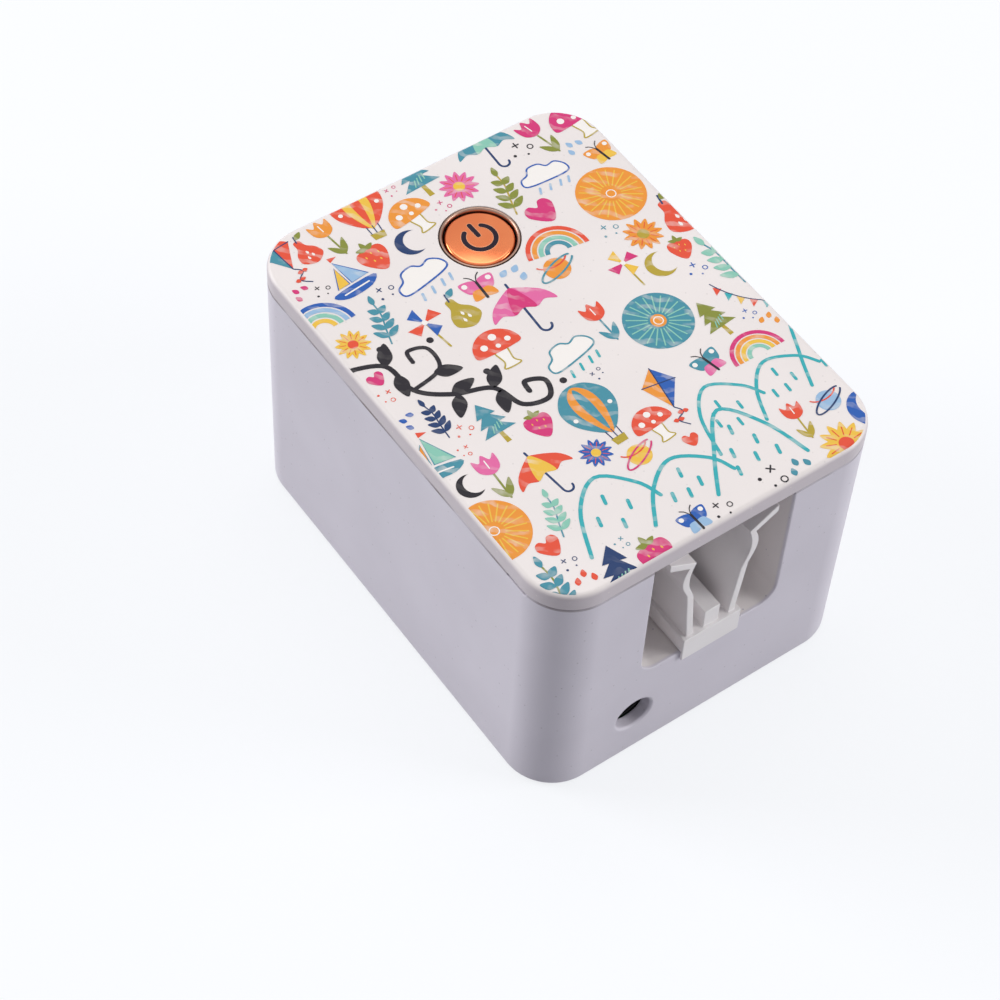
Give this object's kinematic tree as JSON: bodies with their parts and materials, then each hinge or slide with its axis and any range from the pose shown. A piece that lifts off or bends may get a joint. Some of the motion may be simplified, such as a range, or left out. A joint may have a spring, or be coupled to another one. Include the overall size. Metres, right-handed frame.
{
  "type": "uv toothbrush sterilizer",
  "caption": "Box-shaped toothbrush sterilizer with a printed hinged lid, a chamber for the brush head, a neck slot with a spring clip and a round power button.",
  "frame": {"origin": "middle of the flat back face, which rests on a wall or a table", "axes": "+Z runs out of the back through the printed lid, +Y along the length towards the hinged end, +X across the width; the slotted end faces -Y"},
  "size_m": [0.055, 0.0751, 0.0458],
  "materials": {
    "white_shell": "moulded cool white plastic with a fine matte grain",
    "printed_lid": "warm white plastic, printed with small coloured motifs under a soft matte coat",
    "liner_plastic": "moulded cool white plastic, satin",
    "clip_plastic": "slightly translucent off-white plastic, satin",
    "copper_chrome": "polished copper-coloured plating",
    "bronze_chrome": "brown-bronze plating",
    "steel": "plain zinc-plated steel",
    "nickel": "nickel plating",
    "black_plastic": "black moulded plastic",
    "pale_plastic": "pale moulded plastic and ceramic",
    "circuit_board": "green solder mask on glass laminate",
    "battery_foil": "silver pouch foil",
    "grey_foam": "open-cell grey foam",
    "pad_foam": "white foam tape with an adhesive face",
    "quartz": "clear quartz pane",
    "red_wire": "red wire insulation",
    "blue_wire": "blue wire insulation",
    "yellow_wire": "yellow wire insulation"
  },
  "bodies": {
    "base": {"housing": "white_shell", "brush_clip": "clip_plastic", "deck_magnet_1": "nickel", "deck_magnet_2": "nickel", "hinge_pin": "steel", "switch_plate": "white_shell", "control_board": "circuit_board", "control_board_screw_1": "steel", "control_board_screw_2": "steel", "switch_body": "black_plastic", "lid_sensor": "black_plastic", "lamp_window": "quartz", "lamp_emitter_1": "pale_plastic", "lamp_emitter_2": "pale_plastic", "lamp_board": "circuit_board", "lamp_board_screw_1": "steel", "lamp_board_screw_2": "steel", "charging_socket": "black_plastic", "socket_pin": "nickel", "charging_board": "circuit_board", "charging_board_screw_1": "steel", "charging_board_screw_2": "steel", "back_cover": "white_shell", "back_screw_1": "steel", "back_screw_2": "steel", "back_screw_3": "steel", "back_screw_4": "steel", "wall_pad": "pad_foam", "battery": "battery_foil", "battery_foam": "grey_foam", "battery_lead_1": "red_wire", "battery_lead_2": "red_wire", "power_lead_1": "blue_wire", "power_lead_2": "blue_wire", "lamp_lead_1": "yellow_wire", "lamp_lead_2": "yellow_wire"},
    "lid": {"lid_cover": "printed_lid", "lid_liner": "liner_plastic", "lid_magnet_1": "nickel", "lid_magnet_2": "nickel", "sensor_magnet": "nickel", "button_bezel": "bronze_chrome"},
    "button": {"power_button": "copper_chrome", "button_retainer": "steel", "switch_plunger": "pale_plastic"}
  },
  "joints": [
    {"name": "lid_hinge", "type": "hinge", "parent": "base", "child": "lid", "pos_m": [0, 0.0365, 0.04272], "axis": [-1, 0, 0], "range_deg": [0, 110]},
    {"name": "button_press", "type": "slide", "parent": "base", "child": "button", "axis": [0, 0, -1], "range_m": [0, 0.0005], "stiffness_N_per_m": 1500}
  ]
}
